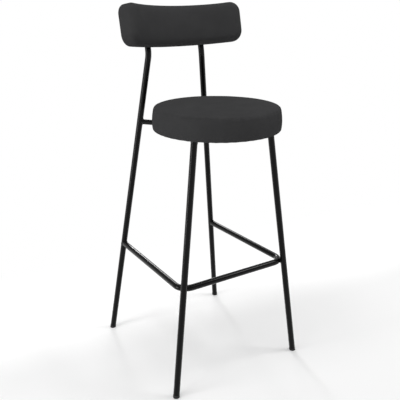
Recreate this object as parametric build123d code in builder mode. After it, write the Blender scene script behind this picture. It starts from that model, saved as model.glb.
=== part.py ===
from build123d import *
import os
from math import asin, cos, degrees, radians, sin

# Bar stool with a footrest: welded tube frame, round seat pad, curved back pad.
# Millimetres, +Z up, the front faces -Y, left is -X. The origin is on the floor, under the middle of the stool.

SIDES = ((-1, "left"), (1, "right"))

# Frame tube, and the thinner tube of the cross under the seat
TUBE_D = 17.2
CROSS_D = 15
TUBE_WALL = 1.5
TUBE_R = TUBE_D / 2
CROSS_R = CROSS_D / 2
BORE_R = TUBE_R - TUBE_WALL
COPE_SHORT = 2.5

# Seat pad: a crowned round cushion on a plywood board
SEAT_D = 341
SEAT_Y = -67
SEAT_BOTTOM = 687.6
SEAT_RIM = 749
SEAT_CROWN = 7
SEAT_TOP_DRAW_IN = 4
SEAT_LOW_DRAW_IN = 1.5
SEAT_TOP_EDGE_R = 9
SEAT_LOW_EDGE_R = 5.5
COVER_T = 1.4
COVER_HEM = 32
LINING_T = 0.8
LINING_D = 300
SEAT_BOARD_D = 318
SEAT_BOARD_T = 12

# Legs: the tube axis on the floor and at the height of the cross tubes under the seat
CROSS_Z = SEAT_BOTTOM - CROSS_R
FRONT_FOOT = (205.5, -186.5)
FRONT_TOP = (119.5, -144.0)
REAR_FOOT = (200.5, 228.3)
REAR_TOP = (111.0, 160.5)

# Back posts: the rear legs bend back behind the backrest
BEND_Z = 868
BEND_R = 70
POST_TILT = 13
POST_LENGTH = 108

# Footrest: a hoop in three runs, its bends against the inside of the front legs
FOOTREST_Z = 300
FOOTREST_FRONT_Y = -161
FOOTREST_CORNER_X = 169.8
FOOTREST_BEND_R = 32

# Plastic plugs in the tube ends
GLIDE_D = 17.8
GLIDE_SHOWN = 8
GLIDE_EDGE_R = 1.6
CAP_SHOWN = 3.2
CAP_EDGE_R = 2
PLUG_LENGTH = 12
PLUG_CLEARANCE = 0.25
PLUG_RIBS = 3
PLUG_RIB_T = 1.2

# Back pad: bent to an arc and crowned at the front
PAD_RADIUS = 317
PAD_ARC = 383
PAD_H = 108.5
PAD_T = 49
PAD_CROWN = 5.5
PAD_CORNER_R = 29.5
PAD_FRONT_EDGE_R = 16.5
PAD_REAR_EDGE_R = 11
PAD_ABOVE_BEND = 68.8
PAD_BOARD_T = 9
PAD_BOARD_REAR = 13
PAD_BOARD_MARGIN = 15
PAD_BOARD_CORNER_R = 18

# Bolts and tee nuts
BOLT_D = 6
BOLT_HOLE_D = 6.8
BOLT_HEAD_D = 11
BOLT_HEAD_H = 3.4
SOCKET_ACROSS = 4
SOCKET_DEPTH = 1.8
TEE_FLANGE_D = 18
TEE_FLANGE_T = 1.4
TEE_BARREL_D = 7.8
TEE_BORE_D = 6.2
TEE_BARREL_SHORT = 1
SEAT_BOLT_FRONT = 150
SEAT_BOLT_REAR = 55
SEAT_BOLT_LENGTH = 30
PAD_BOLT_PITCH = 44
PAD_BOLT_LENGTH = 43


# Places worked out from the driving dimensions
def leg_point(foot, top, side, height):
    share = height / CROSS_Z
    x = foot[0] + (top[0] - foot[0]) * share
    y = foot[1] + (top[1] - foot[1]) * share
    return Vector(side * x, y, height)


def front_point(side, height):
    return leg_point(FRONT_FOOT, FRONT_TOP, side, height)


def rear_point(side, height):
    return leg_point(REAR_FOOT, REAR_TOP, side, height)


POST_UP = Vector(0, sin(radians(POST_TILT)), cos(radians(POST_TILT)))
POST_BACK = Vector(0, cos(radians(POST_TILT)), -sin(radians(POST_TILT)))
POST_X = rear_point(1, BEND_Z).X

# The posts touch the rear of the pad, so their axes lie on an arc round the same centre line as the pad
POST_RADIUS = PAD_RADIUS + PAD_T / 2 + TUBE_R
POST_ANGLE = asin(POST_X / POST_RADIUS)
BEND_MIDDLE = Vector(0, rear_point(1, BEND_Z).Y, BEND_Z)
ARC_CENTER = BEND_MIDDLE + POST_UP * PAD_ABOVE_BEND - POST_BACK * (POST_RADIUS * cos(POST_ANGLE))
ARC_AXIS = Axis(ARC_CENTER, POST_UP)

# The cross tubes meet over the middle of the frame
CROSS_SHARE = REAR_TOP[0] / (REAR_TOP[0] + FRONT_TOP[0])
CROSS_MIDDLE = Vector(0, REAR_TOP[1] + (FRONT_TOP[1] - REAR_TOP[1]) * CROSS_SHARE, CROSS_Z)

SEAT_PLANE = Plane(origin=(0, SEAT_Y, 0), x_dir=(1, 0, 0), z_dir=(0, -1, 0))
SEAT_AXIS = Axis((0, SEAT_Y, 0), (0, 0, 1))
PAD_LOW = SEAT_BOTTOM + LINING_T
BOARD_LOW = PAD_LOW + COVER_T
BOARD_TOP = BOARD_LOW + SEAT_BOARD_T


def cross_point(leg_top, distance):
    return CROSS_MIDDLE + (leg_top - CROSS_MIDDLE).normalized() * distance


SEAT_BOLT_POINTS = []
for side, _ in SIDES:
    SEAT_BOLT_POINTS.append(cross_point(front_point(side, CROSS_Z), SEAT_BOLT_FRONT))
    SEAT_BOLT_POINTS.append(cross_point(rear_point(side, CROSS_Z), SEAT_BOLT_REAR))
SEAT_BOLT_XY = [(point.X, point.Y) for point in SEAT_BOLT_POINTS]


def radial_plane(angle, radius, height):
    outward = Vector(sin(angle), 0, 0) + POST_BACK * cos(angle)
    origin = ARC_CENTER + outward * radius + POST_UP * height
    return Plane(origin=origin, x_dir=POST_UP, z_dir=outward * -1)


def pad_bolt_planes(radius):
    planes = []
    for side, _ in SIDES:
        for height in (-PAD_BOLT_PITCH / 2, PAD_BOLT_PITCH / 2):
            planes.append(radial_plane(side * POST_ANGLE, radius, height))
    return planes


# Shapes that several pieces share
def tube(points, bend_radius=0, radius=TUBE_R):
    with BuildPart() as bar:
        with BuildLine() as path:
            if bend_radius:
                FilletPolyline(*points, radius=bend_radius)
            else:
                Line(*points)
        with BuildSketch(Plane(origin=path.line @ 0, z_dir=path.line % 0)):
            Circle(radius)
            Circle(radius - TUBE_WALL, mode=Mode.SUBTRACT)
        sweep(path=path.line)
    return bar.part


def short_of(end, start):
    return end + (start - end).normalized() * COPE_SHORT


def rod(start, end, radius):
    with BuildPart() as bar:
        with BuildSketch(Plane(origin=start, z_dir=end - start)):
            Circle(radius)
        extrude(amount=(end - start).length)
    return bar.part


def bolt_holes(planes, diameter, depth):
    with BuildPart() as holes:
        with BuildSketch(*planes):
            Circle(diameter / 2)
        extrude(amount=depth)
    return holes.part


def plug_stem(plane):
    with BuildPart() as stem:
        with BuildSketch(plane):
            Circle(BORE_R - PLUG_CLEARANCE - PLUG_RIB_T / 2)
        extrude(amount=PLUG_LENGTH)
        for rib in range(PLUG_RIBS):
            with BuildSketch(plane.offset(PLUG_LENGTH * (rib + 0.5) / PLUG_RIBS)):
                Circle(BORE_R - PLUG_CLEARANCE)
            extrude(amount=PLUG_RIB_T)
    return stem.part


def socket_bolts(planes, length):
    with BuildPart() as bolts:
        with BuildSketch(*planes):
            Circle(BOLT_D / 2)
        extrude(amount=length)
        with BuildSketch(*planes):
            Circle(BOLT_HEAD_D / 2)
        extrude(amount=-BOLT_HEAD_H)
        with BuildSketch(*[plane.offset(-BOLT_HEAD_H) for plane in planes]):
            RegularPolygon(SOCKET_ACROSS / 2, 6, major_radius=False)
        extrude(amount=SOCKET_DEPTH, mode=Mode.SUBTRACT)
    return bolts.part


def tee_nuts(planes, board_thickness):
    barrel = board_thickness - TEE_BARREL_SHORT
    with BuildPart() as nuts:
        with BuildSketch(*planes):
            Circle(TEE_FLANGE_D / 2)
        extrude(amount=TEE_FLANGE_T)
        with BuildSketch(*planes):
            Circle(TEE_BARREL_D / 2)
        extrude(amount=-barrel)
        with BuildSketch(*[plane.offset(TEE_FLANGE_T) for plane in planes]):
            Circle(TEE_BORE_D / 2)
        extrude(amount=-(barrel + TEE_FLANGE_T), mode=Mode.SUBTRACT)
    return nuts.part


def save(piece, name):
    piece.part.label = name
    export_step(piece.part, f"parts/{name}.step")


os.makedirs("parts", exist_ok=True)

# Front legs, cut level where the seat rests on them
for side, name in SIDES:
    foot = front_point(side, 0)
    axis = (front_point(side, CROSS_Z) - foot).normalized()
    leg_tube = tube((foot + axis * GLIDE_SHOWN, front_point(side, SEAT_RIM)))
    with BuildPart() as front_leg:
        add(leg_tube)
        split(bisect_by=Plane.XY.offset(SEAT_BOTTOM), keep=Keep.BOTTOM)
    save(front_leg, f"front_leg_{name}")

# Rear legs: one tube from the floor to the back of the pad, drilled for the pad's bolts
pad_bore_depth = POST_RADIUS + TUBE_D - (PAD_RADIUS + PAD_BOARD_REAR - PAD_BOARD_T / 2)
pad_bolt_bores = bolt_holes(pad_bolt_planes(POST_RADIUS + TUBE_D), BOLT_HOLE_D, pad_bore_depth)
for side, name in SIDES:
    foot = rear_point(side, 0)
    bend = rear_point(side, BEND_Z)
    axis = (bend - foot).normalized()
    leg_tube = tube((foot + axis * GLIDE_SHOWN, bend, bend + POST_UP * POST_LENGTH), BEND_R)
    with BuildPart() as rear_leg:
        add(leg_tube)
        add(pad_bolt_bores, mode=Mode.SUBTRACT)
    save(rear_leg, f"rear_leg_{name}")

# Footrest hoop, its two ends coped to the front of the rear legs
hoop_corners = [Vector(side * FOOTREST_CORNER_X, FOOTREST_FRONT_Y, FOOTREST_Z) for side, _ in SIDES]
hoop_points = (
    short_of(rear_point(-1, FOOTREST_Z), hoop_corners[0]),
    *hoop_corners,
    short_of(rear_point(1, FOOTREST_Z), hoop_corners[1]),
)
hoop_tube = tube(hoop_points, FOOTREST_BEND_R)
rear_bars = [rod(rear_point(side, 0), rear_point(side, SEAT_RIM), TUBE_R) for side, _ in SIDES]
with BuildPart() as footrest_hoop:
    add(hoop_tube)
    add(rear_bars, mode=Mode.SUBTRACT)
save(footrest_hoop, "footrest_hoop")

# Cross tubes under the seat, coped to the legs and to each other, drilled for the seat's bolts
long_ends = (rear_point(-1, CROSS_Z), front_point(1, CROSS_Z))
front_bars = [rod(front_point(side, 0), front_point(side, SEAT_RIM), TUBE_R) for side, _ in SIDES]
seat_bolt_planes = [Plane(origin=(x, y, CROSS_Z - CROSS_R)) for x, y in SEAT_BOLT_XY]
seat_bolt_bores = bolt_holes(seat_bolt_planes, BOLT_HOLE_D, CROSS_D)
long_tube = tube([short_of(end, CROSS_MIDDLE) for end in long_ends], radius=CROSS_R)
long_bar = rod(*long_ends, CROSS_R)
with BuildPart() as seat_cross_tube:
    add(long_tube)
    add(front_bars + rear_bars, mode=Mode.SUBTRACT)
    add(seat_bolt_bores, mode=Mode.SUBTRACT)
save(seat_cross_tube, "seat_cross_tube")

half_ends = (("left", front_point(-1, CROSS_Z)), ("right", rear_point(1, CROSS_Z)))
for name, leg_top in half_ends:
    half_points = (short_of(leg_top, CROSS_MIDDLE), short_of(CROSS_MIDDLE, leg_top))
    half_tube = tube(half_points, radius=CROSS_R)
    with BuildPart() as cross_half:
        add(half_tube)
        add(front_bars + rear_bars, mode=Mode.SUBTRACT)
        add(long_bar, mode=Mode.SUBTRACT)
        add(seat_bolt_bores, mode=Mode.SUBTRACT)
    save(cross_half, f"seat_cross_half_{name}")

# Foot glides: a plug with a head that stands flat on the floor
for end, point in (("front", front_point), ("rear", rear_point)):
    for side, name in SIDES:
        foot = point(side, 0)
        axis = (point(side, CROSS_Z) - foot).normalized()
        mouth = Plane(origin=foot + axis * GLIDE_SHOWN, z_dir=axis)
        stem = plug_stem(mouth)
        with BuildPart() as glide:
            with BuildSketch(mouth):
                Circle(GLIDE_D / 2)
            extrude(amount=-GLIDE_SHOWN * 2)
            split(bisect_by=Plane.XY, keep=Keep.TOP)
            fillet(glide.faces().sort_by(Axis.Z)[0].edges(), GLIDE_EDGE_R)
            add(stem)
        save(glide, f"foot_glide_{end}_{name}")

# Caps in the upper ends of the posts
for side, name in SIDES:
    post_top = rear_point(side, BEND_Z) + POST_UP * POST_LENGTH
    stem = plug_stem(Plane(origin=post_top, z_dir=POST_UP * -1))
    with BuildPart() as post_cap:
        with BuildSketch(Plane(origin=post_top, z_dir=POST_UP)):
            Circle(TUBE_R)
        extrude(amount=CAP_SHOWN)
        fillet(post_cap.faces().sort_by(Axis(post_top, POST_UP))[-1].edges(), CAP_EDGE_R)
        add(stem)
    save(post_cap, f"post_cap_{name}")


# Half section of the seat pad: its outside, or the same form set in by the cover's thickness
def seat_section(inset):
    low = PAD_LOW + inset
    rim = SEAT_RIM - inset
    wide = SEAT_D / 2 - inset
    low_edge = (wide - SEAT_LOW_DRAW_IN, low)
    top_edge = (wide - SEAT_TOP_DRAW_IN, rim)
    crown = (0, rim + SEAT_CROWN)
    with BuildSketch(SEAT_PLANE) as section:
        with BuildLine():
            Line((0, low), low_edge)
            ThreePointArc(low_edge, (wide, (low + rim) / 2), top_edge)
            TangentArc(crown, top_edge, tangent=(1, 0))
            Line(crown, (0, low))
        make_face()
        fillet(section.vertices().sort_by_distance(low_edge)[0], SEAT_LOW_EDGE_R - inset)
        fillet(section.vertices().sort_by_distance(top_edge)[0], SEAT_TOP_EDGE_R - inset)
    return section.sketch_local


seat_outside = seat_section(0)
seat_inside = seat_section(COVER_T)
board_top_planes = [Plane(origin=(x, y, BOARD_TOP)) for x, y in SEAT_BOLT_XY]

# Cover: stretched over the foam and turned in under the board
with BuildPart() as seat_cover:
    with BuildSketch(SEAT_PLANE):
        add(seat_outside)
        add(seat_inside, mode=Mode.SUBTRACT)
        with Locations((0, PAD_LOW)):
            Rectangle(SEAT_D - COVER_HEM * 2, COVER_T * 2, mode=Mode.SUBTRACT)
    revolve(axis=SEAT_AXIS)
save(seat_cover, "seat_cover")

# Foam: fills the cover above and round the board
with BuildPart() as seat_foam:
    with BuildSketch(SEAT_PLANE):
        add(seat_inside)
        with Locations((0, BOARD_LOW)):
            Rectangle(SEAT_BOARD_D, SEAT_BOARD_T * 2, mode=Mode.SUBTRACT)
    revolve(axis=SEAT_AXIS)
    with BuildSketch(*board_top_planes):
        Circle(TEE_FLANGE_D / 2)
    extrude(amount=TEE_FLANGE_T, mode=Mode.SUBTRACT)
save(seat_foam, "seat_foam")

# Board: a plywood disc with a bore for each tee nut
with BuildPart() as seat_board:
    with BuildSketch(Plane((0, SEAT_Y, BOARD_LOW))):
        Circle(SEAT_BOARD_D / 2)
    extrude(amount=SEAT_BOARD_T)
    with BuildSketch(Plane.XY.offset(BOARD_LOW)):
        with Locations(*SEAT_BOLT_XY):
            Circle(TEE_BARREL_D / 2)
    extrude(amount=SEAT_BOARD_T, mode=Mode.SUBTRACT)
save(seat_board, "seat_board")

# Lining: closes the underside, pierced by the bolts
with BuildPart() as seat_lining:
    with BuildSketch(Plane((0, SEAT_Y, SEAT_BOTTOM))):
        Circle(LINING_D / 2)
    extrude(amount=LINING_T)
    with BuildSketch(Plane.XY.offset(SEAT_BOTTOM)):
        with Locations(*SEAT_BOLT_XY):
            Circle(BOLT_HOLE_D / 2)
    extrude(amount=LINING_T, mode=Mode.SUBTRACT)
save(seat_lining, "seat_lining")

# Tee nuts on the board and bolts from under the cross tubes
with BuildPart() as seat_tee_nuts:
    add(tee_nuts(board_top_planes, SEAT_BOARD_T))
save(seat_tee_nuts, "seat_tee_nuts")

with BuildPart() as seat_bolts:
    add(socket_bolts(seat_bolt_planes, SEAT_BOLT_LENGTH))
save(seat_bolts, "seat_bolts")


# Curved slabs of the backrest: a section turned about the centre line of the arc
def arc_slab(front, rear, crown, height, arc, corner_radius):
    half_angle = arc / 2 / PAD_RADIUS
    outward = Vector(sin(half_angle), 0, 0) + POST_BACK * cos(half_angle)
    end_plane = Plane(origin=ARC_CENTER + outward * PAD_RADIUS, x_dir=outward, z_dir=outward.cross(POST_UP))
    half = height / 2
    with BuildPart() as slab:
        with BuildSketch(end_plane):
            with BuildLine():
                if crown:
                    ThreePointArc((front + crown, -half), (front, 0), (front + crown, half))
                else:
                    Line((front, -half), (front, half))
                Polyline((front + crown, half), (rear, half), (rear, -half), (front + crown, -half))
            make_face()
        revolve(axis=ARC_AXIS, revolution_arc=degrees(half_angle * 2))
        fillet(slab.edges().filter_by(GeomType.LINE).filter_by(Axis(ARC_CENTER, POST_UP), reverse=True),
               corner_radius)
    return slab.part


# Back pad: the outside of the cushion, or the same form set in by the cover's thickness
def back_pad(inset):
    slab = arc_slab(-PAD_T / 2 + inset, PAD_T / 2 - inset, PAD_CROWN, PAD_H - inset * 2,
                    PAD_ARC - inset * 2, PAD_CORNER_R - inset)
    with BuildPart() as pad:
        add(slab)
        front_face = pad.faces().filter_by(GeomType.TORUS)[0]
        fillet(front_face.edges(), PAD_FRONT_EDGE_R - inset)
        rear_face = pad.faces().sort_by(lambda face: face.center(CenterOf.BOUNDING_BOX).dot(POST_BACK))[-1]
        fillet(rear_face.edges(), PAD_REAR_EDGE_R - inset)
    return pad.part


pad_outside = back_pad(0)
pad_inside = back_pad(COVER_T)
pad_board_front = PAD_BOARD_REAR - PAD_BOARD_T
pad_board = arc_slab(pad_board_front, PAD_BOARD_REAR, 0, PAD_H - PAD_BOARD_MARGIN * 2,
                     PAD_ARC - PAD_BOARD_MARGIN * 2, PAD_BOARD_CORNER_R)
pad_front_zone = rod(ARC_CENTER - POST_UP * PAD_H, ARC_CENTER + POST_UP * PAD_H,
                     PAD_RADIUS + (pad_board_front + PAD_BOARD_REAR) / 2)
tee_planes = pad_bolt_planes(PAD_RADIUS + pad_board_front)
tee_holes = bolt_holes(pad_bolt_planes(PAD_RADIUS + PAD_BOARD_REAR * 2), TEE_BARREL_D, PAD_T)
flange_pockets = bolt_holes(tee_planes, TEE_FLANGE_D, TEE_FLANGE_T)
tip_pockets = bolt_holes(tee_planes, BOLT_HOLE_D, PAD_BOARD_T)

# Cover of the back pad, pierced at the rear by the bolts
with BuildPart() as backrest_cover:
    add(pad_outside)
    add(pad_inside, mode=Mode.SUBTRACT)
    add(pad_bolt_bores, mode=Mode.SUBTRACT)
save(backrest_cover, "backrest_cover")

# Foam in front of the board and round its edges, and a thinner sheet behind it
with BuildPart() as backrest_foam_front:
    add(pad_inside)
    add(pad_front_zone, mode=Mode.INTERSECT)
    add(pad_board, mode=Mode.SUBTRACT)
    add(flange_pockets, mode=Mode.SUBTRACT)
    add(tip_pockets, mode=Mode.SUBTRACT)
save(backrest_foam_front, "backrest_foam_front")

with BuildPart() as backrest_foam_rear:
    add(pad_inside)
    add(pad_front_zone, mode=Mode.SUBTRACT)
    add(pad_board, mode=Mode.SUBTRACT)
    add(pad_bolt_bores, mode=Mode.SUBTRACT)
save(backrest_foam_rear, "backrest_foam_rear")

# Curved plywood board with a bore and a flat seat for each tee nut
with BuildPart() as backrest_board:
    add(pad_board)
    add(tee_holes, mode=Mode.SUBTRACT)
    add(flange_pockets, mode=Mode.SUBTRACT)
save(backrest_board, "backrest_board")

# Tee nuts on the front of the curved board and bolts from behind the posts
with BuildPart() as backrest_tee_nuts:
    add(tee_nuts(tee_planes, PAD_BOARD_T))
save(backrest_tee_nuts, "backrest_tee_nuts")

with BuildPart() as backrest_bolts:
    add(socket_bolts(pad_bolt_planes(POST_RADIUS + TUBE_R), PAD_BOLT_LENGTH))
save(backrest_bolts, "backrest_bolts")
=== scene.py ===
import math

import bmesh
import bpy
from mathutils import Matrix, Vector
from mathutils.bvhtree import BVHTree


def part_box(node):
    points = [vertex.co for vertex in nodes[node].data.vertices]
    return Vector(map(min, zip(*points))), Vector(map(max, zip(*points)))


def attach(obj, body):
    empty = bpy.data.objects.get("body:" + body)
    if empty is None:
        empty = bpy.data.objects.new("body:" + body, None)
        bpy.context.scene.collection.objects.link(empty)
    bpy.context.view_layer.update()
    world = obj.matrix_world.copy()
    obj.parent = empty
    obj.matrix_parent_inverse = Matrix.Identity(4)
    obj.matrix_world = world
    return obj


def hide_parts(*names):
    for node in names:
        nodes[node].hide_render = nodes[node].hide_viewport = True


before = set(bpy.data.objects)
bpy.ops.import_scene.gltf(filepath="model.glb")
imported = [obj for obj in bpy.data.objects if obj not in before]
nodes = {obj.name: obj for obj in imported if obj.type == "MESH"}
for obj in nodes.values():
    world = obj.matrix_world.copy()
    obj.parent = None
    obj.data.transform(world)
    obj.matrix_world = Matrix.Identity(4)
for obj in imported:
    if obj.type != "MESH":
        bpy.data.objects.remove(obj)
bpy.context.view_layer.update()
scene = bpy.context.scene

# Metres. Sizes that a piece shares with a CAD solid are repeated from the part's source.
MM = 0.001
UP = Vector((0, 0, 1))
SIDES = (-1, 1)

# Camera, found from the photograph: degrees turned from +Y to +X and tilted down, lens and sensor in mm
CAMERA_AT = (-0.8470, -1.3007, 1.0147)
CAMERA_TURN = 32.77
CAMERA_TILT = 19.40
CAMERA_LENS = 51.76
CAMERA_SENSOR = 36

# Frame tube: points on the legs' axes, on the floor and level with the cross tubes under the seat
TUBE_R = 8.6 * MM
CROSS_R = 7.5 * MM
CROSS_Z = 680.1 * MM
FRONT_FOOT = Vector((205.5, -186.5, 0)) * MM
FRONT_TOP = Vector((119.5, -144.0, 680.1)) * MM
REAR_FOOT = Vector((200.5, 228.3, 0)) * MM
REAR_TOP = Vector((111.0, 160.5, 680.1)) * MM
FRONT_LEG = (FRONT_FOOT, FRONT_TOP)
REAR_LEG = (REAR_FOOT, REAR_TOP)
FOOTREST_Z = 300 * MM
FOOTREST_CORNER = Vector((169.8, -161.0)) * MM
FOOTREST_BEND_R = 32 * MM

# Back posts and the arc of the back pad
BEND_Z = 868 * MM
POST_TILT = math.radians(13)
PAD_RADIUS = 317 * MM
PAD_ARC = 383 * MM
PAD_H = 108.5 * MM
PAD_T = 49 * MM
PAD_CROWN = 5.5 * MM
PAD_CORNER_R = 29.5 * MM
PAD_FRONT_EDGE_R = 16.5 * MM
PAD_REAR_EDGE_R = 11 * MM
PAD_ABOVE_BEND = 68.8 * MM

# Seat pad, its place taken from the CAD cover
SEAT_LOW, SEAT_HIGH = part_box("seat_cover")
SEAT_MIDDLE = (SEAT_LOW + SEAT_HIGH) / 2
SEAT_R = 170.5 * MM
SEAT_CROWN = 7 * MM
SEAT_TOP_DRAW_IN = 4 * MM
SEAT_LOW_DRAW_IN = 1.5 * MM
SEAT_TOP_EDGE_R = 9 * MM
SEAT_LOW_EDGE_R = 5.5 * MM

# Cushions: each starts a little small and is blown up by the cloth simulation
VOXEL = 4 * MM
SHRINK = 2 * MM
PRESSURE = 4
SWELL_LIMIT = 5 * MM
CLOTH_FRAMES = 20
SMOOTH_ROUNDS = 2
SMOOTH_FACTOR = 0.5
HELD_DEPTH = 3 * MM
SOFTNESS = 0.15
SEAT_TURNS = 360
CORNER_STEPS = 24
EDGE_STEPS = 16

# Gathered hem under the seat: radii where its folds rise and fall, and heights over which they fade
HEM_RISE_FROM_R = 132 * MM
HEM_RISE_TO_R = 140 * MM
HEM_FALL_FROM_R = SEAT_R - 9 * MM
HEM_FALL_TO_R = SEAT_R - MM
HEM_FADE_FROM_Z = SEAT_LOW.z + 2 * MM
HEM_FADE_TO_Z = SEAT_LOW.z + 8 * MM
GATHERS = 44
GATHER_DEPTH = 0.9 * MM

# Lining, drawn up between its staples, from a share of its radius outwards
LINING_R = 150 * MM
LINING_T = 0.5 * MM
LINING_RINGS = 24
LINING_TURNS = 144
LINING_RISE = 0.5 * MM
LINING_RISE_FROM = 0.75
STAPLES = 26
STAPLE_RING_R = 145 * MM
STAPLE_W = 10 * MM
STAPLE_LEG = 1.2 * MM
STAPLE_WIRE = 0.5 * MM
STAPLE_DROP = 0.4 * STAPLE_WIRE
STAPLE_FAR = 4 * STAPLE_W
STAPLE_CLEAR = 17 * MM

# Weld beads where the tubes meet, thinned over a few steps towards an open end
BEAD_R = 1.7 * MM
BEAD_STEPS = 168
BEAD_SIDES = 10
BEAD_RIPPLE = 0.10
BEAD_RIPPLE_LENGTH = 2.2 * MM
BEAD_TAPER_STEPS = 6
CONTACT_BEAD_RING = 5.6 * MM

# Values between which most of a texture lies, and the share of its gloss that the black paint keeps
NOISE_SPAN = (0.3, 0.7)
CELL_SPAN = (0.1, 0.7)
PEEL_SPAN = (0.4, 0.9)
PAINT_GLOSS = 0.27

# World: strengths at the sides and overhead, and the heights of a unit direction between which they change
SIDE_FILL = 0.38
TOP_FILL = 0.62
TOP_FROM = 0.40
TOP_FULL = 0.85
HORIZON_WHITE = 0.08
HORIZON_FADED = 0.22

# Floor: its colour, the lift behind the stool, and where it turns white behind the stool and all round
WHITE = (1, 1, 1, 1)
FLOOR_COLOUR = 0.90
FLOOR_MOTTLE = 0.004
FLOOR_MOTTLE_SIZE = 0.4
FLOOR_REACH = 300
LIFT = 0.17
LIFT_FROM_Y = 0.04
LIFT_TO_Y = 0.30
WHITE_FROM_Y = 0.28
WHITE_TO_Y = 0.75
WHITE_FROM_R = 1.0
WHITE_TO_R = 2.0
WHITE_SLANT = 0.11

# Lamps: direction from the lit point, distance, width and height, watts. The strip draws the light line
# on the left of each leg, the low right lamp the one along the footrest's front bar, and the two at the
# back the rims of its side bars.
LIT_POINT = Vector((0, 0, 0.6))
LAMPS = {
    "left_strip": ((-0.985, 0.09, -0.02), 2.2, (0.5, 1.15), 14),
    "right_softbox": ((0.38, -0.22, 0.90), 2.6, (0.6, 0.6), 5),
    "low_right_softbox": ((0.62, -0.37, 0.69), 2.6, (0.9, 0.45), 14),
    "top_softbox": ((-0.10, -0.22, 0.97), 2.6, (1.1, 1.1), 10),
    "upper_left_softbox": ((-0.48, -0.08, 0.87), 2.6, (0.7, 0.7), 12),
    "back_softbox": ((0.34, 0.82, 0.46), 3.0, (1.2, 0.8), 18),
    "back_lamp": ((0.261, 0.894, 0.364), 3.0, (0.30, 0.30), 8),
}


# Mesh helpers
def mesh_piece(name, points, faces):
    mesh = bpy.data.meshes.new(name)
    mesh.from_pydata([tuple(point) for point in points], [], faces)
    mesh.update()
    return mesh_object(name, mesh)


def mesh_object(name, mesh):
    mesh.polygons.foreach_set("use_smooth", [True] * len(mesh.polygons))
    piece = bpy.data.objects.new(name, mesh)
    scene.collection.objects.link(piece)
    return piece


def arc(centre, radius, start, end, steps):
    angles = [math.radians(start + (end - start) * step / steps) for step in range(steps + 1)]
    return [(centre[0] + radius * math.cos(a), centre[1] + radius * math.sin(a)) for a in angles]


def ring_faces(rings, count, closed=False):
    """Faces between rings of count points each. Closed joins the last ring to the first."""
    faces = []
    last = rings if closed else rings - 1
    for ring in range(last):
        here, there = ring * count, (ring + 1) % rings * count
        for step in range(count):
            after = (step + 1) % count
            faces.append((here + step, here + after, there + after, there + step))
    return faces


def capped_rings(rings, count):
    faces = ring_faces(rings, count)
    faces.append(tuple(reversed(range(count))))
    faces.append(tuple(range((rings - 1) * count, rings * count)))
    return faces


def sweep(points, radii, centre, closed):
    """A round bar along points, its rings turned to face away from centre."""
    rows = []
    count = len(points)
    for index, point in enumerate(points):
        before = points[index - 1] if closed or index else point
        after = points[(index + 1) % count] if closed or index < count - 1 else point
        along = (after - before).normalized()
        out = point - centre
        out = (out - along * out.dot(along)).normalized()
        side = along.cross(out)
        for step in range(BEAD_SIDES):
            turn = 2 * math.pi * step / BEAD_SIDES
            rows.append(point + (out * math.cos(turn) + side * math.sin(turn)) * radii[index])
    faces = ring_faces(count, BEAD_SIDES, closed=True) if closed else capped_rings(count, BEAD_SIDES)
    return rows, faces


def joined_piece(name, shapes):
    points, faces = [], []
    for shape_points, shape_faces in shapes:
        base = len(points)
        points += shape_points
        faces += [tuple(base + index for index in face) for face in shape_faces]
    return mesh_piece(name, points, faces)


# Material helpers: textures take their places from object coordinates, the frame's own metres
def noise(tree, place, size, detail):
    node = tree.nodes.new("ShaderNodeTexNoise")
    node.inputs["Scale"].default_value = 1 / size
    node.inputs["Detail"].default_value = detail
    tree.links.new(place, node.inputs["Vector"])
    return node.outputs[0]


def cells(tree, place, size):
    node = tree.nodes.new("ShaderNodeTexVoronoi")
    node.feature = "SMOOTH_F1"
    node.inputs["Scale"].default_value = 1 / size
    node.inputs["Smoothness"].default_value = 0.5
    tree.links.new(place, node.inputs["Vector"])
    return node.outputs["Distance"]


def stretched(tree, place, scale):
    node = tree.nodes.new("ShaderNodeMapping")
    node.inputs["Scale"].default_value = scale
    tree.links.new(place, node.inputs["Vector"])
    return node.outputs[0]


def mapped(tree, value, span, low, high, curve):
    node = tree.nodes.new("ShaderNodeMapRange")
    node.interpolation_type = curve
    node.inputs["From Min"].default_value, node.inputs["From Max"].default_value = span
    node.inputs["To Min"].default_value = low
    node.inputs["To Max"].default_value = high
    tree.links.new(value, node.inputs["Value"])
    return node.outputs["Result"]


def spread(tree, value, low, high, span=NOISE_SPAN):
    return mapped(tree, value, span, low, high, "LINEAR")


def eased(tree, value, start, end, low, high):
    return mapped(tree, value, (start, end), low, high, "SMOOTHSTEP")


def added(tree, first, second, share):
    node = tree.nodes.new("ShaderNodeMath")
    node.operation = "MULTIPLY_ADD"
    tree.links.new(second, node.inputs[0])
    node.inputs[1].default_value = share
    tree.links.new(first, node.inputs[2])
    return node.outputs[0]


def combined(tree, operation, first, second):
    node = tree.nodes.new("ShaderNodeMath")
    node.operation = operation
    tree.links.new(first, node.inputs[0])
    tree.links.new(second, node.inputs[1])
    return node.outputs[0]


def distance_along(tree, place, direction):
    node = tree.nodes.new("ShaderNodeVectorMath")
    node.operation = "DOT_PRODUCT"
    tree.links.new(place, node.inputs[0])
    node.inputs[1].default_value = direction
    return node.outputs["Value"]


def distance_round(tree, place):
    node = tree.nodes.new("ShaderNodeVectorMath")
    node.operation = "LENGTH"
    tree.links.new(place, node.inputs[0])
    return node.outputs["Value"]


def between(tree, value, dark, light):
    node = tree.nodes.new("ShaderNodeMix")
    node.data_type = "RGBA"
    node.inputs["A"].default_value = (*dark, 1)
    node.inputs["B"].default_value = (*light, 1)
    tree.links.new(value, node.inputs["Factor"])
    return node.outputs["Result"]


def new_material(name):
    material = bpy.data.materials.new(name)
    material.use_nodes = True
    tree = material.node_tree
    place = tree.nodes.new("ShaderNodeTexCoord").outputs["Object"]
    return material, tree, tree.nodes["Principled BSDF"], place


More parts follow.
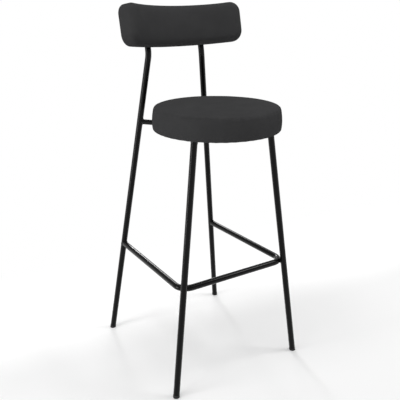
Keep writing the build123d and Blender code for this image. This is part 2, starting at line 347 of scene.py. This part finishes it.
def finished(tree, surface, colour, roughness):
    tree.links.new(colour, surface.inputs["Base Color"])
    tree.links.new(roughness, surface.inputs["Roughness"])


def roughened(tree, surface, height, depth, sunken=False):
    bump = tree.nodes.new("ShaderNodeBump")
    bump.invert = sunken
    bump.inputs["Strength"].default_value = 1
    bump.inputs["Distance"].default_value = depth
    tree.links.new(height, bump.inputs["Height"])
    tree.links.new(bump.outputs["Normal"], surface.inputs["Normal"])


# Materials
def leather():
    """Charcoal synthetic leather: small pebbled grain with finer creases, slightly mottled; painted shade
    darkens the hollows between the pebbles and lightens their tops.
    """
    material, tree, surface, place = new_material("cover_leather")
    mottle = spread(tree, noise(tree, place, size=45 * MM, detail=4), low=0, high=1)
    pebbles = cells(tree, place, size=1.3 * MM)
    creases = noise(tree, place, size=0.5 * MM, detail=3)
    # Painted shade: the pebbles' tops are coloured lighter and the sunken hollows between them darker.
    pebble_shade = spread(tree, pebbles, low=0.25, high=-0.25, span=CELL_SPAN)
    # The leather's random mottle with the grain's painted shade added to it.
    mottle_and_pebble_shade = added(tree, mottle, pebble_shade, share=1)
    colour = between(tree, mottle_and_pebble_shade, dark=(0.0406, 0.0406, 0.0416), light=(0.0448, 0.0448, 0.0458))
    finished(tree, surface, colour, spread(tree, pebbles, low=0.72, high=0.86, span=CELL_SPAN))
    surface.inputs["Specular IOR Level"].default_value = 0
    roughened(tree, surface, added(tree, pebbles, creases, share=0.35), depth=0.16 * MM, sunken=True)
    return material


def paint():
    """Black semi-gloss powder coat with a slight orange peel."""
    material, tree, surface, place = new_material("frame_paint")
    drift = noise(tree, place, size=60 * MM, detail=3)
    peel = noise(tree, place, size=1.6 * MM, detail=2)
    tone = spread(tree, drift, low=0, high=1)
    colour = between(tree, tone, dark=(0.0018, 0.0018, 0.0019), light=(0.0032, 0.0032, 0.0033))
    uneven = added(tree, drift, peel, share=0.3)
    finished(tree, surface, colour, spread(tree, uneven, low=0.14, high=0.22, span=PEEL_SPAN))
    surface.inputs["Specular Tint"].default_value = (PAINT_GLOSS, PAINT_GLOSS, PAINT_GLOSS, 1)
    roughened(tree, surface, peel, depth=0.02 * MM)
    return material


def plastic():
    """Black moulded plastic with a fine spark-eroded texture."""
    material, tree, surface, place = new_material("plug_plastic")
    drift = noise(tree, place, size=12 * MM, detail=3)
    texture = noise(tree, place, size=0.45 * MM, detail=2)
    tone = spread(tree, drift, low=0, high=1)
    colour = between(tree, tone, dark=(0.0075, 0.0075, 0.0078), light=(0.0115, 0.0115, 0.0118))
    finished(tree, surface, colour, spread(tree, texture, low=0.46, high=0.60))
    surface.inputs["Specular IOR Level"].default_value = 0.35
    roughened(tree, surface, texture, depth=0.04 * MM)
    return material


def lining_cloth():
    """Black nonwoven dust cloth: bonded fibres with a small embossed cell."""
    material, tree, surface, place = new_material("lining_cloth")
    fibres = noise(tree, stretched(tree, place, (1, 5, 1)), size=3 * MM, detail=5)
    emboss = cells(tree, place, size=1.8 * MM)
    tone = spread(tree, fibres, low=0, high=1)
    colour = between(tree, tone, dark=(0.008, 0.008, 0.008), light=(0.021, 0.021, 0.021))
    finished(tree, surface, colour, spread(tree, fibres, low=0.86, high=0.97))
    surface.inputs["Specular IOR Level"].default_value = 0.2
    roughened(tree, surface, added(tree, fibres, emboss, share=0.8), depth=0.15 * MM)
    return material


def foam():
    """Pale open-cell foam, its pores coloured darker as painted shade."""
    material, tree, surface, place = new_material("foam")
    pores = cells(tree, place, size=1.1 * MM)
    # Painted shade: the sunken middles of the cells are coloured darker than the walls between them.
    tone = spread(tree, pores, low=0, high=1, span=CELL_SPAN)
    colour = between(tree, tone, dark=(0.50, 0.44, 0.30), light=(0.72, 0.66, 0.48))
    finished(tree, surface, colour, spread(tree, pores, low=0.85, high=0.95, span=CELL_SPAN))
    roughened(tree, surface, pores, depth=0.3 * MM)
    return material


def plywood():
    """Birch plywood with long figure and fine pores."""
    material, tree, surface, place = new_material("plywood")
    figure = noise(tree, stretched(tree, place, (1, 14, 14)), size=55 * MM, detail=5)
    pores = noise(tree, stretched(tree, place, (1, 25, 25)), size=12 * MM, detail=3)
    tone = spread(tree, figure, low=0, high=1)
    colour = between(tree, tone, dark=(0.36, 0.22, 0.11), light=(0.58, 0.41, 0.24))
    finished(tree, surface, colour, spread(tree, figure, low=0.55, high=0.70))
    roughened(tree, surface, pores, depth=0.1 * MM)
    return material


def steel(name, dark, light, smooth, rough):
    """Plated or blackened steel: cloudy colour, fine tool marks."""
    material, tree, surface, place = new_material(name)
    cloud = noise(tree, place, size=5 * MM, detail=4)
    marks = noise(tree, stretched(tree, place, (1, 1, 8)), size=0.9 * MM, detail=2)
    colour = between(tree, spread(tree, cloud, low=0, high=1), dark, light)
    finished(tree, surface, colour, spread(tree, marks, low=smooth, high=rough))
    surface.inputs["Metallic"].default_value = 1
    roughened(tree, surface, marks, depth=0.01 * MM)
    return material


def floor_paper():
    """Pale matt floor, lifted behind the stool and white farther off, to the camera and in reflections."""
    material, tree, surface, place = new_material("floor_paper")
    mottle = noise(tree, place, size=FLOOR_MOTTLE_SIZE, detail=3)
    tone = spread(tree, mottle, low=FLOOR_COLOUR - FLOOR_MOTTLE, high=FLOOR_COLOUR + FLOOR_MOTTLE)
    tree.links.new(tone, surface.inputs["Base Color"])
    surface.inputs["Roughness"].default_value = 0.9
    surface.inputs["Specular IOR Level"].default_value = 0.1
    seen = seen_rays(tree)
    behind = distance_along(tree, place, (WHITE_SLANT, 1, 0))
    lift = eased(tree, behind, LIFT_FROM_Y, LIFT_TO_Y, 0, LIFT)
    tree.links.new(combined(tree, "MULTIPLY", lift, seen), surface.inputs["Emission Strength"])
    surface.inputs["Emission Color"].default_value = WHITE
    far_behind = eased(tree, behind, WHITE_FROM_Y, WHITE_TO_Y, 0, 1)
    far_round = eased(tree, distance_round(tree, place), WHITE_FROM_R, WHITE_TO_R, 0, 1)
    far = combined(tree, "MAXIMUM", far_behind, far_round)
    whitened(tree, surface, combined(tree, "MULTIPLY", far, seen))
    return material


def seen_rays(tree):
    """1 for rays from the camera and for rays that reflections and glass send on."""
    path = tree.nodes.new("ShaderNodeLightPath")
    glossy = combined(tree, "MAXIMUM", path.outputs["Is Camera Ray"], path.outputs["Is Glossy Ray"])
    return combined(tree, "MAXIMUM", glossy, path.outputs["Is Transmission Ray"])


def whitened(tree, surface, share):
    """Puts plain white in place of a share of the surface."""
    white = tree.nodes.new("ShaderNodeEmission")
    mix = tree.nodes.new("ShaderNodeMixShader")
    tree.links.new(share, mix.inputs["Fac"])
    tree.links.new(surface.outputs[0], mix.inputs[1])
    tree.links.new(white.outputs[0], mix.inputs[2])
    tree.links.new(mix.outputs[0], tree.nodes["Material Output"].inputs["Surface"])


MATERIALS = {
    "cover_leather": leather(),
    "frame_paint": paint(),
    "plug_plastic": plastic(),
    "lining_cloth": lining_cloth(),
    "foam": foam(),
    "plywood": plywood(),
    "zinc_steel": steel(
        "zinc_steel", dark=(0.42, 0.43, 0.44), light=(0.58, 0.58, 0.58), smooth=0.28, rough=0.42
    ),
    "bolt_steel": steel(
        "bolt_steel", dark=(0.030, 0.030, 0.032), light=(0.055, 0.055, 0.056), smooth=0.30, rough=0.42
    ),
}

# The material of each CAD node, by the start of its name
NODE_SLOTS = {
    "front_leg": "frame_paint",
    "rear_leg": "frame_paint",
    "footrest": "frame_paint",
    "seat_cross": "frame_paint",
    "foot_glide": "plug_plastic",
    "post_cap": "plug_plastic",
    "seat_board": "plywood",
    "backrest_board": "plywood",
    "seat_foam": "foam",
    "backrest_foam": "foam",
    "seat_cover": "cover_leather",
    "backrest_cover": "cover_leather",
    "seat_lining": "lining_cloth",
    "seat_tee_nuts": "zinc_steel",
    "backrest_tee_nuts": "zinc_steel",
    "seat_bolts": "bolt_steel",
    "backrest_bolts": "bolt_steel",
}


def dress_nodes():
    for start, slot in NODE_SLOTS.items():
        for name, node in nodes.items():
            if name.startswith(start):
                node.data.materials.clear()
                node.data.materials.append(MATERIALS[slot])


def finish_piece(piece, slot):
    piece.data.materials.append(MATERIALS[slot])
    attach(piece, "root")


# Places worked out from the frame's sizes
def on_leg(leg, side, height):
    foot, top = leg
    point = foot + (top - foot) * (height / CROSS_Z)
    return Vector((side * point.x, point.y, height))


def footrest_corner(side):
    return Vector((side * FOOTREST_CORNER.x, FOOTREST_CORNER.y, FOOTREST_Z))


POST_UP = Vector((0, math.sin(POST_TILT), math.cos(POST_TILT)))
POST_BACK = Vector((0, math.cos(POST_TILT), -math.sin(POST_TILT)))
BEND = on_leg(REAR_LEG, 1, BEND_Z)
POST_RADIUS = PAD_RADIUS + PAD_T / 2 + TUBE_R
POST_REACH = math.sqrt(POST_RADIUS**2 - BEND.x**2)
ARC_CENTRE = Vector((0, BEND.y, BEND.z)) + POST_UP * PAD_ABOVE_BEND - POST_BACK * POST_REACH
CROSS_SHARE = REAR_TOP.x / (REAR_TOP.x + FRONT_TOP.x)
CROSS_MIDDLE = Vector((0, REAR_TOP.y + (FRONT_TOP.y - REAR_TOP.y) * CROSS_SHARE, CROSS_Z))
SEAT_BOTTOM = CROSS_Z + CROSS_R


# Cushions
def remeshed(name, points, faces):
    """The same closed form in even faces of about one voxel."""
    rough = mesh_piece(name + "_start", points, faces)
    remesh = rough.modifiers.new("Remesh", "REMESH")
    remesh.mode = "VOXEL"
    remesh.voxel_size = VOXEL
    shape = rough.evaluated_get(bpy.context.evaluated_depsgraph_get())
    piece = mesh_object(name, bpy.data.meshes.new_from_object(shape))
    bpy.data.objects.remove(rough)
    return piece


def inflated(piece, held):
    """Blows the closed form up as a stuffed cover, with the points that held picks kept in place."""
    vertices = piece.data.vertices
    start = [vertex.co.copy() for vertex in vertices]
    group = piece.vertex_groups.new(name="held")
    group.add([vertex.index for vertex in vertices if held(vertex.co)], 1, "REPLACE")
    cloth = piece.modifiers.new("Cloth", "CLOTH")
    cloth.settings.vertex_group_mass = group.name
    cloth.settings.use_pressure = True
    cloth.settings.uniform_pressure_force = PRESSURE
    cloth.settings.effector_weights.gravity = 0
    cloth.point_cache.frame_end = CLOTH_FRAMES
    for number in range(1, CLOTH_FRAMES + 1):
        scene.frame_set(number)
    shape = piece.evaluated_get(bpy.context.evaluated_depsgraph_get())
    ends = [vertex.co.copy() for vertex in shape.data.vertices]
    piece.modifiers.remove(cloth)
    piece.vertex_groups.remove(group)
    scene.frame_set(1)
    for vertex, before, after in zip(vertices, start, ends):
        move = after - before
        if move.length > SWELL_LIMIT:
            move *= SWELL_LIMIT / move.length
        vertex.co = before + move


def smoothed(piece):
    form = bmesh.new()
    form.from_mesh(piece.data)
    every_axis = {"use_axis_x": True, "use_axis_y": True, "use_axis_z": True}
    for _ in range(SMOOTH_ROUNDS):
        bmesh.ops.smooth_vert(form, verts=form.verts, factor=SMOOTH_FACTOR, **every_axis)
    form.to_mesh(piece.data)
    form.free()


def subdivided(piece):
    subdivision = piece.modifiers.new("Subdivision", "SUBSURF")
    subdivision.levels = 1
    shape = piece.evaluated_get(bpy.context.evaluated_depsgraph_get())
    finer = bpy.data.meshes.new_from_object(shape)
    piece.modifiers.remove(subdivision)
    piece.data = finer


def stuffed(piece, held):
    inflated(piece, held)
    smoothed(piece)
    subdivided(piece)


def drawn_to(places, points, faces):
    """Brings places close to a closed form, keeping a share of how far they stand off it."""
    form = BVHTree.FromPolygons(points, faces)
    nearest = [form.find_nearest(place)[0] for place in places]
    return [near + (place - near) * SOFTNESS for place, near in zip(places, nearest)]


def ease(value, start, end):
    share = min(max((value - start) / (end - start), 0), 1)
    return share * share * (3 - 2 * share)


def circle_through(first, second, third):
    """Centre and radius of the circle through three points of a section."""
    chord, other = Vector(second) - Vector(first), Vector(third) - Vector(first)
    twist = 2 * (chord.x * other.y - chord.y * other.x)
    across = (other.y * chord.length_squared - chord.y * other.length_squared) / twist
    above = (chord.x * other.length_squared - other.x * chord.length_squared) / twist
    return Vector(first) + Vector((across, above)), math.hypot(across, above)


def outer_meeting(first, first_radius, second, second_radius):
    """The point farther from the axis where two circles of a section meet."""
    line = second - first
    ahead = (first_radius**2 - second_radius**2 + line.length_squared) / (2 * line.length)
    aside = math.sqrt(first_radius**2 - ahead**2)
    line.normalize()
    meetings = [first + line * ahead + Vector((line.y, -line.x)) * aside * turn for turn in SIDES]
    return max(meetings, key=lambda point: point.x)


def bearing(start, end):
    return math.degrees(math.atan2(end.y - start.y, end.x - start.x))


def seat_section(shrink):
    """Half section of the seat pad as (radius, height): underside, low edge, side, top edge, crown."""
    low, rim, wide = SEAT_LOW.z, SEAT_HIGH.z - SEAT_CROWN - shrink, SEAT_R - shrink
    low_edge, top_edge = (wide - SEAT_LOW_DRAW_IN, low), (wide - SEAT_TOP_DRAW_IN, rim)
    side, side_r = circle_through(low_edge, (wide, (low + rim) / 2), top_edge)
    crown, crown_r = circle_through((-top_edge[0], rim), (0, rim + SEAT_CROWN), top_edge)
    rise = low + SEAT_LOW_EDGE_R
    reach = math.sqrt((side_r - SEAT_LOW_EDGE_R) ** 2 - (rise - side.y) ** 2)
    foot = Vector((side.x + reach, rise))
    head = outer_meeting(side, side_r - SEAT_TOP_EDGE_R, crown, crown_r - SEAT_TOP_EDGE_R)
    section = [(wide / 2, low)]
    section += arc(foot, SEAT_LOW_EDGE_R, -90, bearing(side, foot), EDGE_STEPS)
    section += arc(side, side_r, bearing(side, foot), bearing(side, head), EDGE_STEPS)[1:-1]
    section += arc(head, SEAT_TOP_EDGE_R, bearing(side, head), bearing(crown, head), EDGE_STEPS)
    section += arc(crown, crown_r, bearing(crown, head), 90, EDGE_STEPS)[1:-1]
    return section


def seat_form(shrink):
    section = seat_section(shrink)
    points = []
    for radius, height in section:
        for step in range(SEAT_TURNS):
            turn = 2 * math.pi * step / SEAT_TURNS
            x, y = radius * math.cos(turn), radius * math.sin(turn)
            points.append(Vector((x, SEAT_MIDDLE.y + y, height)))
    return points, capped_rings(len(section), SEAT_TURNS)


def gathered(place):
    """Lifts the hem into small folds where it turns in under the board."""
    spoke = Vector((place.x, place.y - SEAT_MIDDLE.y))
    radius = spoke.length
    under = 1 - ease(place.z, HEM_FADE_FROM_Z, HEM_FADE_TO_Z)
    rise = ease(radius, HEM_RISE_FROM_R, HEM_RISE_TO_R)
    hem = rise * (1 - ease(radius, HEM_FALL_FROM_R, HEM_FALL_TO_R))
    fold = 0.5 + 0.5 * math.sin(GATHERS * math.atan2(spoke.y, spoke.x))
    return place + UP * (under * hem * fold * GATHER_DEPTH)


def seat_cushion():
    cushion = remeshed("seat_cushion", *seat_form(SHRINK))
    stuffed(cushion, lambda place: place.z < SEAT_LOW.z + HELD_DEPTH)
    vertices = cushion.data.vertices
    places = drawn_to([vertex.co.copy() for vertex in vertices], *seat_form(0))
    for vertex, place in zip(vertices, places):
        vertex.co = gathered(place)
    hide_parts("seat_cover", "seat_foam")
    finish_piece(cushion, "cover_leather")


def pad_outline(shrink):
    radius = PAD_CORNER_R - shrink
    half_arc = PAD_ARC / 2 - PAD_CORNER_R
    half_height = PAD_H / 2 - PAD_CORNER_R
    outline = []
    for corner, (right, up) in enumerate(((1, 1), (-1, 1), (-1, -1), (1, -1))):
        centre = (right * half_arc, up * half_height)
        outline += arc(centre, radius, corner * 90, corner * 90 + 90, CORNER_STEPS)
    return outline


def pad_form(shrink):
    """The back pad before it is bent: rings from its rear face round its edges to its front."""
    rear, front = PAD_T / 2, -PAD_T / 2 + shrink
    rings = []
    for x, y in arc((0, 0), PAD_REAR_EDGE_R, 0, 90, EDGE_STEPS):
        rings.append((shrink + PAD_REAR_EDGE_R - y, rear - PAD_REAR_EDGE_R + x))
    for x, y in arc((0, 0), PAD_FRONT_EDGE_R, 0, 90, EDGE_STEPS):
        rings.append((shrink + PAD_FRONT_EDGE_R - x, front + PAD_FRONT_EDGE_R - y))
    points = []
    for inset, out in rings:
        points += [Vector((along, above, out)) for along, above in pad_outline(inset)]
    return points, capped_rings(len(rings), len(points) // len(rings))


def pad_crown(above):
    return PAD_CROWN * (2 * above / PAD_H) ** 2


def bent(flat):
    """Where a place of the flat pad comes to lie: along its arc, above its middle, out to the rear."""
    along, above, out = flat
    turn = along / PAD_RADIUS
    outward = Vector((math.sin(turn), 0, 0)) + POST_BACK * math.cos(turn)
    crowned = out + pad_crown(above) * (0.5 - out / PAD_T)
    return ARC_CENTRE + outward * (PAD_RADIUS + crowned) + POST_UP * above


def unbent(place):
    arm = place - ARC_CENTRE
    back, above = arm.dot(POST_BACK), arm.dot(POST_UP)
    crowned = math.hypot(arm.x, back) - PAD_RADIUS
    out = (crowned - pad_crown(above) / 2) / (1 - pad_crown(above) / PAD_T)
    return Vector((math.atan2(arm.x, back) * PAD_RADIUS, above, out))


def back_cushion():
    cushion = remeshed("backrest_cushion", *pad_form(SHRINK))
    for vertex in cushion.data.vertices:
        vertex.co = bent(vertex.co)
    cushion.data.flip_normals()
    stuffed(cushion, lambda place: unbent(place).z > PAD_T / 2 - HELD_DEPTH)
    vertices = cushion.data.vertices
    places = drawn_to([unbent(vertex.co) for vertex in vertices], *pad_form(0))
    for vertex, place in zip(vertices, places):
        vertex.co = bent(place)
    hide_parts("backrest_cover", "backrest_foam_front", "backrest_foam_rear")
    finish_piece(cushion, "cover_leather")


# Lining under the seat
def seat_lining():
    height = SEAT_BOTTOM + LINING_T / 2
    points = [(0, SEAT_MIDDLE.y, height)]
    for ring in range(1, LINING_RINGS + 1):
        radius = LINING_R * ring / LINING_RINGS
        for step in range(LINING_TURNS):
            turn = 2 * math.pi * step / LINING_TURNS
            slack = 0.5 - 0.5 * math.cos(STAPLES * turn)
            rise = LINING_RISE * slack * ease(radius, LINING_RISE_FROM * LINING_R, LINING_R)
            x, y = radius * math.cos(turn), radius * math.sin(turn)
            points.append((x, SEAT_MIDDLE.y + y, height + rise))
    faces = [(0, 1 + step, 1 + (step + 1) % LINING_TURNS) for step in range(LINING_TURNS)]
    faces += [tuple(1 + index for index in face) for face in ring_faces(LINING_RINGS, LINING_TURNS)]
    lining = mesh_piece("seat_lining_cloth", points, faces)
    thickness = lining.modifiers.new("Thickness", "SOLIDIFY")
    thickness.thickness = LINING_T
    thickness.offset = 0
    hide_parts("seat_lining")
    finish_piece(lining, "lining_cloth")


def cross_joints():
    """Where each cross tube under the seat meets its leg, with that leg's direction."""
    for side in SIDES:
        for leg in (FRONT_LEG, REAR_LEG):
            joint = on_leg(leg, side, CROSS_Z)
            yield joint, joint - on_leg(leg, side, 0)


def clear_of_tubes(place):
    for joint, _ in cross_joints():
        arm = place - CROSS_MIDDLE
        line = (joint - CROSS_MIDDLE).normalized()
        ahead = arm.dot(line)
        off = arm - line * ahead
        off.z = 0
        if ahead > 0 and off.length < STAPLE_CLEAR:
            return False
    return True


def staple(crown, out):
    """Wire up into the board at both ends of a crown that lies across out."""
    along = UP.cross(out)
    left, right = crown - along * STAPLE_W / 2, crown + along * STAPLE_W / 2
    path = [left + UP * STAPLE_LEG, left + UP * STAPLE_WIRE, left + along * STAPLE_WIRE]
    path += [right - along * STAPLE_WIRE, right + UP * STAPLE_WIRE, right + UP * STAPLE_LEG]
    return sweep(path, [STAPLE_WIRE] * len(path), crown + out * STAPLE_FAR, closed=False)


def lining_staples():
    shapes = []
    for number in range(STAPLES):
        turn = 2 * math.pi * number / STAPLES
        out = Vector((math.cos(turn), math.sin(turn), 0))
        crown = Vector((0, SEAT_MIDDLE.y, SEAT_BOTTOM - STAPLE_DROP)) + out * STAPLE_RING_R
        if clear_of_tubes(crown):
            shapes.append(staple(crown, out))
    finish_piece(joined_piece("lining_staples", shapes), "zinc_steel")


# Weld beads
def saddle(joint, branch, main, branch_r, main_r):
    """The line where a tube leaving the joint along branch meets a tube along main."""
    branch, main = branch.normalized(), main.normalized()
    across = branch.cross(main).normalized()
    along = across.cross(branch)
    flat_branch = branch - main * branch.dot(main)
    size = flat_branch.length_squared
    line = []
    for step in range(BEAD_STEPS):
        turn = 2 * math.pi * step / BEAD_STEPS
        spoke = (across * math.cos(turn) + along * math.sin(turn)) * branch_r
        flat_spoke = spoke - main * spoke.dot(main)
        half = flat_spoke.dot(flat_branch)
        rest = flat_spoke.length_squared - main_r**2
        reach = (math.sqrt(max(half**2 - size * rest, 0)) - half) / size
        line.append(joint + spoke + branch * reach)
    return line


def kept_below(line, height):
    """The open stretch of a closed line that stays below a height, or the whole line."""
    low = [point.z < height for point in line]
    if all(low):
        return line, True
    first = next(i for i in range(len(line)) if low[i] and not low[i - 1])
    turned_line = line[first:] + line[:first]
    return [point for point in turned_line if point.z < height], False


def bead(line, centre, closed):
    """A rippled bar of weld along a line."""
    last = len(line) - 1
    radii = []
    run = 0
    for index, point in enumerate(line):
        run += (point - line[index - 1]).length if index else 0
        ripple = 1 + BEAD_RIPPLE * math.sin(2 * math.pi * run / BEAD_RIPPLE_LENGTH)
        from_end = min(index, last - index) + 0.5
        taper = 1 if closed else min(1, math.sqrt(from_end / BEAD_TAPER_STEPS))
        radii.append(BEAD_R * ripple * taper)
    return sweep(line, radii, centre, closed)


def joint_bead(joint, branch, main, branch_r, main_r, top=math.inf):
    line, closed = kept_below(saddle(joint, branch, main, branch_r, main_r), top)
    return bead(line, joint, closed)


def footrest_contact(side):
    """Where a footrest bend touches a front leg: the points on both axes, and the leg's direction."""
    foot = on_leg(FRONT_LEG, side, 0)
    leg = (on_leg(FRONT_LEG, side, CROSS_Z) - foot).normalized()
    corner = footrest_corner(side)
    front_bar = Vector((-side, 0, 0))
    side_bar = (on_leg(REAR_LEG, side, FOOTREST_Z) - corner).normalized()
    half = front_bar.angle(side_bar) / 2
    bend_centre = corner + (front_bar + side_bar).normalized() * (FOOTREST_BEND_R / math.sin(half))
    arm = foot + leg * (bend_centre - foot).dot(leg) - bend_centre
    arm.z = 0
    on_bend = bend_centre + arm.normalized() * FOOTREST_BEND_R
    on_axis = foot + leg * (on_bend - foot).dot(leg)
    return on_bend, on_axis, leg


def contact_bead(side):
    """A ring of weld in the gap round the point where a footrest bend touches a front leg."""
    on_bend, on_axis, leg = footrest_contact(side)
    out = (on_axis - on_bend).normalized()
    contact = (on_bend + on_axis) / 2
    across = out.cross(leg)
    ring = []
    for step in range(BEAD_STEPS):
        turn = 2 * math.pi * step / BEAD_STEPS
        x, y = CONTACT_BEAD_RING * math.cos(turn), CONTACT_BEAD_RING * math.sin(turn)
        leg_gap = TUBE_R - math.sqrt(TUBE_R**2 - y**2)
        bend_gap = TUBE_R - math.sqrt(TUBE_R**2 - x**2)
        ring.append(contact + leg * x + across * y + out * (leg_gap - bend_gap) / 2)
    return bead(ring, contact, closed=True)


def footrest_welds():
    for side in SIDES:
        yield contact_bead(side)
        joint = on_leg(REAR_LEG, side, FOOTREST_Z)
        leg = on_leg(REAR_LEG, side, CROSS_Z) - joint
        yield joint_bead(joint, footrest_corner(side) - joint, leg, TUBE_R, TUBE_R)


def seat_frame_welds():
    """Beads of the cross tubes, kept below the seat except at the rear legs, which stand clear of it."""
    below_seat = SEAT_BOTTOM - BEAD_R
    for joint, leg in cross_joints():
        top = math.inf if joint.y > CROSS_MIDDLE.y else below_seat
        yield joint_bead(joint, CROSS_MIDDLE - joint, leg, CROSS_R, TUBE_R, top)
    long_line = on_leg(FRONT_LEG, 1, CROSS_Z) - on_leg(REAR_LEG, -1, CROSS_Z)
    half_line = on_leg(FRONT_LEG, -1, CROSS_Z) - CROSS_MIDDLE
    for branch in (half_line, -half_line):
        yield joint_bead(CROSS_MIDDLE, branch, long_line, CROSS_R, CROSS_R, below_seat)


def weld_beads():
    """One piece for each group of joints: the footrest and the cross tubes under the seat."""
    finish_piece(joined_piece("footrest_welds", footrest_welds()), "frame_paint")
    finish_piece(joined_piece("seat_frame_welds", seat_frame_welds()), "frame_paint")


# Stage
def softbox(name, toward, distance, size, watts):
    light = bpy.data.lights.new(name, "AREA")
    light.shape = "RECTANGLE"
    light.size, light.size_y = size
    light.energy = watts
    lamp = bpy.data.objects.new(name, light)
    direction = Vector(toward).normalized()
    lamp.location = LIT_POINT + direction * distance
    lamp.rotation_euler = (-direction).to_track_quat("-Z", "Y").to_euler()
    lamp.visible_camera = False
    scene.collection.objects.link(lamp)


def set_floor():
    turns = ((-1, -1), (1, -1), (1, 1), (-1, 1))
    corners = [(x * FLOOR_REACH, y * FLOOR_REACH, 0) for x, y in turns]
    floor = mesh_piece("floor", corners, [(0, 1, 2, 3)])
    floor.data.materials.append(floor_paper())


def set_world():
    """Soft studio fill, stronger overhead and white at the horizon."""
    world = bpy.data.worlds.new("studio")
    scene.world = world
    world.use_nodes = True
    tree = world.node_tree
    toward = tree.nodes.new("ShaderNodeTexCoord").outputs["Generated"]
    height = distance_along(tree, toward, UP)
    horizon = eased(tree, height, HORIZON_WHITE, HORIZON_FADED, 1, SIDE_FILL)
    overhead = eased(tree, height, TOP_FROM, TOP_FULL, 0, TOP_FILL - SIDE_FILL)
    background = tree.nodes["Background"]
    tree.links.new(added(tree, horizon, overhead, share=1), background.inputs["Strength"])
    background.inputs["Color"].default_value = WHITE


def set_camera():
    camera = bpy.data.objects.new("camera", bpy.data.cameras.new("camera"))
    camera.data.sensor_width = CAMERA_SENSOR
    camera.data.lens = CAMERA_LENS
    camera.location = CAMERA_AT
    camera.rotation_euler = (math.radians(90 - CAMERA_TILT), 0, -math.radians(CAMERA_TURN))
    scene.collection.objects.link(camera)
    scene.camera = camera


dress_nodes()
seat_cushion()
back_cushion()
seat_lining()
lining_staples()
weld_beads()
set_floor()
set_world()
for lamp_name, lamp_values in LAMPS.items():
    softbox(lamp_name, *lamp_values)
set_camera()
scene.view_settings.view_transform = "Standard"
